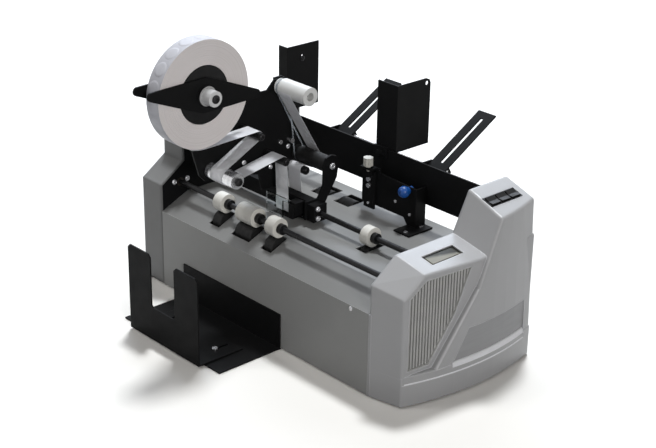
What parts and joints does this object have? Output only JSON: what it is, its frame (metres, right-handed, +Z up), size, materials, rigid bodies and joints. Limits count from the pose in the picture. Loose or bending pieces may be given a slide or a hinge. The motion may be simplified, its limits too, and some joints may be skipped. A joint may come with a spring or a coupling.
{
  "type": "tabbing machine",
  "caption": "Tabletop tabbing machine: a friction feeder, pinch rollers and a peel head that stick round paper tabs from a roll on folded mail.",
  "frame": {"origin": "centre of the overall box's underside, on the table the machine stands on", "axes": "+X along the machine's length to the moulded control end, +Y to the rear hopper, +Z up"},
  "size_m": [0.6978, 0.6686, 0.5381],
  "materials": {
    "body_grey": "fine satin texture",
    "deck_grey": "satin",
    "grille_grey": "satin",
    "plate_silver": "satin, bare",
    "base_metal": "matte",
    "foot_rubber": "matte",
    "black_metal": "satin powder coat",
    "dark_steel": "blackened, satin",
    "black_plastic": "satin",
    "drive_rubber": "matte",
    "white_rubber": "matte",
    "white_plastic": "satin",
    "roll_paper": "coated paper, satin",
    "bright_steel": "polished",
    "bush_bronze": "satin",
    "display_glass": "gloss",
    "motor_steel": "satin",
    "board_green": "satin",
    "clear_belt": "gloss, translucent",
    "clear_plastic": "clear gloss",
    "thumb_grey": "satin",
    "blue_plastic": "gloss"
  },
  "bodies": {
    "frame": {"base_pan": "base_metal", "rubber_feet": "foot_rubber", "front_panel": "body_grey", "deck": "deck_grey", "rear_panel": "body_grey", "left_housing": "body_grey", "left_plate": "black_metal", "right_plate": "black_metal", "shaft_bushings": "bush_bronze", "right_cap": "body_grey", "vent_grille": "grille_grey", "name_plate": "plate_silver", "display_window": "display_glass", "switch_panel": "black_plastic", "feed_motor": "motor_steel", "feed_belt": "drive_rubber", "power_board": "board_green", "cross_beam": "black_metal", "peel_bar": "black_metal", "head_plate": "black_metal", "end_plate": "black_metal", "guide_posts": "dark_steel", "take_up_belt": "clear_belt", "take_up_arm": "black_metal", "head_pins": "dark_steel", "tab_web": "roll_paper", "tab_sensor": "black_plastic", "clear_shield": "clear_plastic", "rear_wall": "black_metal", "gate_bracket": "black_metal", "ramp_brackets": "black_metal", "catch_tray": "black_metal", "machine_screws": "bright_steel"},
    "exit_drive": {"exit_drive_roller": "drive_rubber"},
    "infeed_drive": {"infeed_drive_roller": "drive_rubber"},
    "feed_drive": {"feed_drive_roller": "drive_rubber"},
    "motor_drive": {"motor_pulley": "black_plastic"},
    "exit_pinch": {"exit_shaft": "dark_steel", "exit_rollers_white": "white_rubber"},
    "infeed_pinch": {"infeed_shaft": "dark_steel", "infeed_roller": "white_rubber"},
    "web_drive": {"web_drive_roller": "drive_rubber"},
    "dancer": {"dancer_roller": "bright_steel"},
    "roll": {"tab_roll": "roll_paper", "roll_core": "black_plastic", "roll_arms": "black_metal", "roll_knob": "white_plastic"},
    "spool": {"take_up_spool": "white_plastic"},
    "gate_adjuster": {"gate_knob": "thumb_grey"},
    "gate": {"gate_blade": "black_metal", "blade_screws": "bright_steel"},
    "release": {"release_knob": "blue_plastic"},
    "guide_right": {"right_guide": "black_metal"},
    "guide_left": {"left_guide": "black_metal"},
    "ramp": {"ramp_arms": "black_metal", "ramp_rod": "bright_steel"},
    "stop": {"tray_stop": "black_metal"},
    "switch_front": {"rocker_front": "black_plastic"},
    "switch_middle": {"rocker_middle": "black_plastic"},
    "switch_back": {"rocker_back": "black_plastic"}
  },
  "joints": [
    {"name": "exit_drive_spin", "type": "hinge", "parent": "frame", "child": "exit_drive", "pos_m": [-0.045, -0.10961, 0.161], "axis": [1, 0, 0], "continuous": true},
    {"name": "infeed_drive_spin", "type": "hinge", "parent": "frame", "child": "infeed_drive", "pos_m": [-0.045, -0.01361, 0.161], "axis": [1, 0, 0], "continuous": true},
    {"name": "feed_drive_spin", "type": "hinge", "parent": "frame", "child": "feed_drive", "pos_m": [-0.045, 0.10039, 0.161], "axis": [1, 0, 0], "continuous": true},
    {"name": "motor_spin", "type": "hinge", "parent": "frame", "child": "motor_drive", "pos_m": [-0.045, -0.00361, 0.072], "axis": [1, 0, 0], "continuous": true},
    {"name": "exit_pinch_spin", "type": "hinge", "parent": "frame", "child": "exit_pinch", "pos_m": [-0.045, -0.10961, 0.197], "axis": [1, 0, 0], "continuous": true},
    {"name": "infeed_pinch_spin", "type": "hinge", "parent": "frame", "child": "infeed_pinch", "pos_m": [-0.045, -0.01361, 0.197], "axis": [1, 0, 0], "continuous": true},
    {"name": "roll_spin", "type": "hinge", "parent": "frame", "child": "roll", "pos_m": [-0.092, -0.21861, 0.445], "axis": [1, 0, 0], "continuous": true},
    {"name": "dancer_spin", "type": "hinge", "parent": "frame", "child": "dancer", "pos_m": [-0.092, -0.17061, 0.287], "axis": [1, 0, 0], "continuous": true},
    {"name": "web_drive_spin", "type": "hinge", "parent": "frame", "child": "web_drive", "pos_m": [-0.092, 0.02639, 0.272], "axis": [1, 0, 0], "continuous": true},
    {"name": "spool_spin", "type": "hinge", "parent": "frame", "child": "spool", "pos_m": [-0.092, -0.01461, 0.405], "axis": [1, 0, 0], "continuous": true},
    {"name": "gate_knob_turn", "type": "hinge", "parent": "frame", "child": "gate_adjuster", "pos_m": [-0.005, 0.09039, 0.27], "axis": [0, 0, 1], "range_deg": [-480.1, 600.1]},
    {"name": "gate_slide", "type": "slide", "parent": "frame", "child": "gate", "axis": [0, 0, 1], "range_m": [-0.002, 0.0025]},
    {"name": "release_knob_turn", "type": "hinge", "parent": "frame", "child": "release", "pos_m": [0.089, 0.09039, 0.244], "axis": [0, 1, 0], "range_deg": [-90, 90]},
    {"name": "right_guide_slide", "type": "slide", "parent": "frame", "child": "guide_right", "axis": [1, 0, 0], "range_m": [-0.04, 0.06]},
    {"name": "left_guide_slide", "type": "slide", "parent": "frame", "child": "guide_left", "axis": [1, 0, 0], "range_m": [0, 0.08]},
    {"name": "ramp_hinge", "type": "hinge", "parent": "frame", "child": "ramp", "pos_m": [-0.066, 0.21039, 0.245], "axis": [1, 0, 0], "range_deg": [-20, 25]},
    {"name": "tray_stop_slide", "type": "slide", "parent": "frame", "child": "stop", "axis": [0, -1, 0], "range_m": [0, 0.024]},
    {"name": "switch_front_rock", "type": "hinge", "parent": "frame", "child": "switch_front", "pos_m": [0.29737, 0.07939, 0.29391], "axis": [0, 1, 0], "range_deg": [-6, 6]},
    {"name": "switch_middle_rock", "type": "hinge", "parent": "frame", "child": "switch_middle", "pos_m": [0.29737, 0.10339, 0.29391], "axis": [0, 1, 0], "range_deg": [-6, 6]},
    {"name": "switch_back_rock", "type": "hinge", "parent": "frame", "child": "switch_back", "pos_m": [0.29737, 0.12739, 0.29391], "axis": [0, 1, 0], "range_deg": [-6, 6]}
  ],
  "couplings": [
    {"joint": "infeed_drive_spin", "follows": "exit_drive_spin", "ratio": 1},
    {"joint": "feed_drive_spin", "follows": "exit_drive_spin", "ratio": 1},
    {"joint": "motor_spin", "follows": "exit_drive_spin", "ratio": 1.1},
    {"joint": "exit_pinch_spin", "follows": "exit_drive_spin", "ratio": -1.0286},
    {"joint": "infeed_pinch_spin", "follows": "exit_drive_spin", "ratio": -1.0286},
    {"joint": "dancer_spin", "follows": "roll_spin", "ratio": 6.7143},
    {"joint": "web_drive_spin", "follows": "roll_spin", "ratio": 6.2667},
    {"joint": "spool_spin", "follows": "roll_spin", "ratio": -6.2667},
    {"joint": "gate_knob_turn", "follows": "gate_slide", "rad_per_m": 4188.8}
  ]
}
